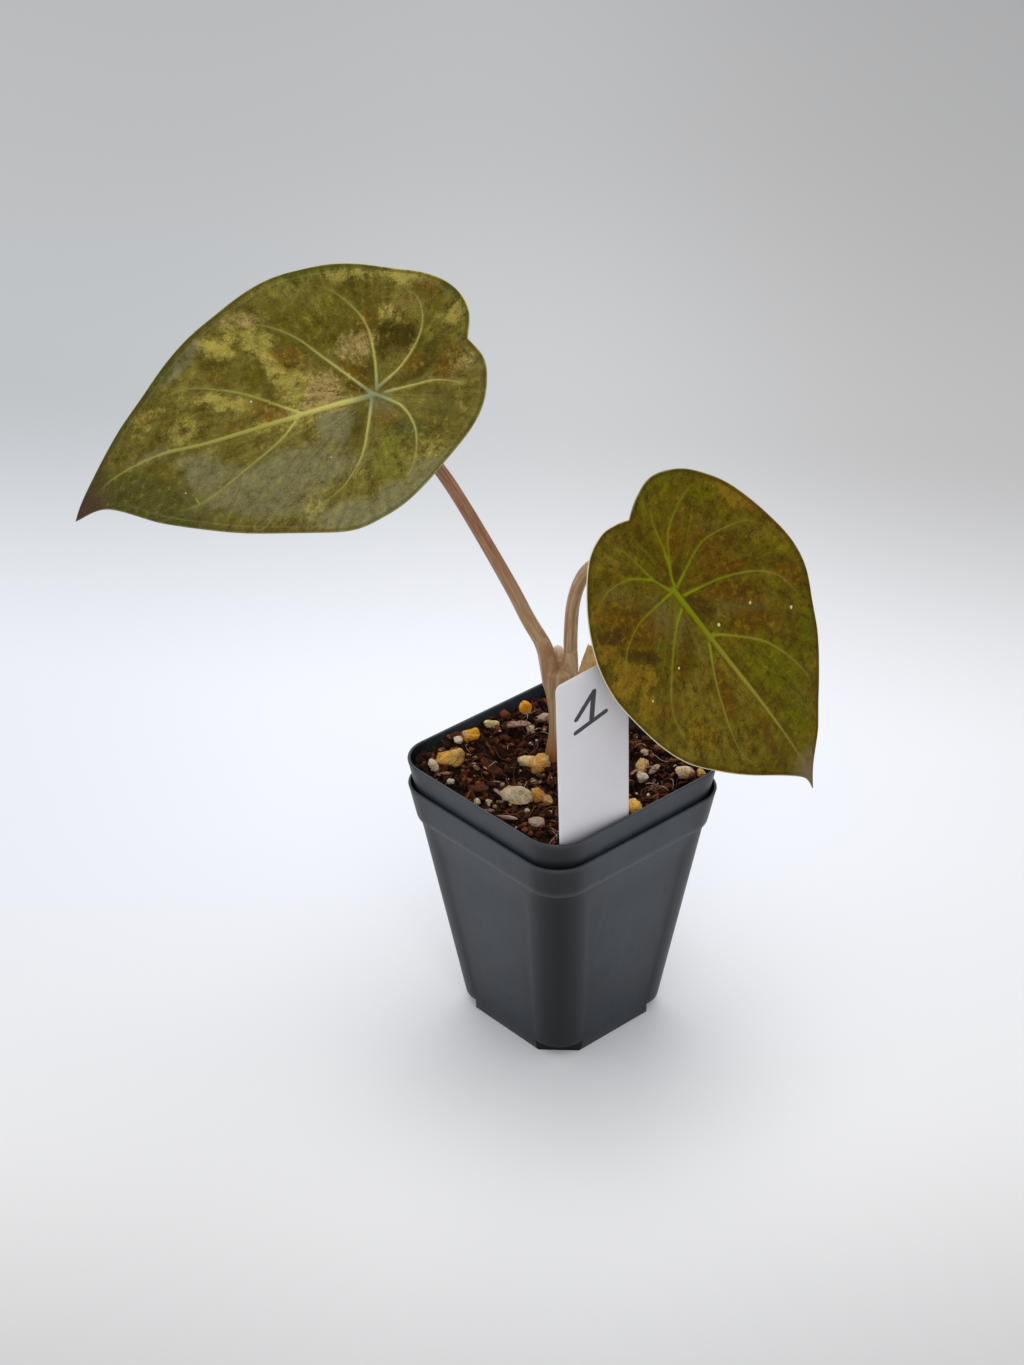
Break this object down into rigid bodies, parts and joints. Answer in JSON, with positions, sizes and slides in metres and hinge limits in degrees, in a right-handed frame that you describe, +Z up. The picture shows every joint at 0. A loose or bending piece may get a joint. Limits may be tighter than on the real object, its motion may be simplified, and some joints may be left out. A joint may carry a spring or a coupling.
{
  "type": "potted alocasia wentii",
  "caption": "Young broad-leaved aroid with peltate mottled leaves on slim stalks, in nested square nursery pots with a plain plant label.",
  "frame": {"origin": "middle of the outer pot's flat bottom, on the surface that the pot stands on", "axes": "+Z up out of the pot; the pots' sides lie along X and Y; the plant label stands inside the +X side; the large leaf reaches towards -X -Y and the small leaf hangs past +X"},
  "size_m": [0.156, 0.1451, 0.2293],
  "materials": {
    "pot_plastic": "satin charcoal polypropylene",
    "soil": "coir and bark crumbs with pumice",
    "label_plastic": "smooth white plastic sheet",
    "stalk": "pinkish-brown plant stalk with fine lengthwise stripes",
    "shoot": "pale pink translucent new growth",
    "dry_sheath": "dry fibrous tan sheath",
    "leaf_large": "olive leaf mottled with tan, pale ribs, soft sheen",
    "leaf_small": "bronze-green leaf, bright yellow-green ribs, soft sheen"
  },
  "bodies": {
    "root": {"outer_pot": "pot_plastic", "inner_pot": "pot_plastic", "soil": "soil", "plant_label": "label_plastic", "stem_base": "stalk", "stalk_large": "stalk", "stalk_small": "stalk", "new_shoot": "shoot", "dried_sheath": "dry_sheath", "leaf_large": "leaf_large", "leaf_small": "leaf_small"}
  },
  "joints": []
}
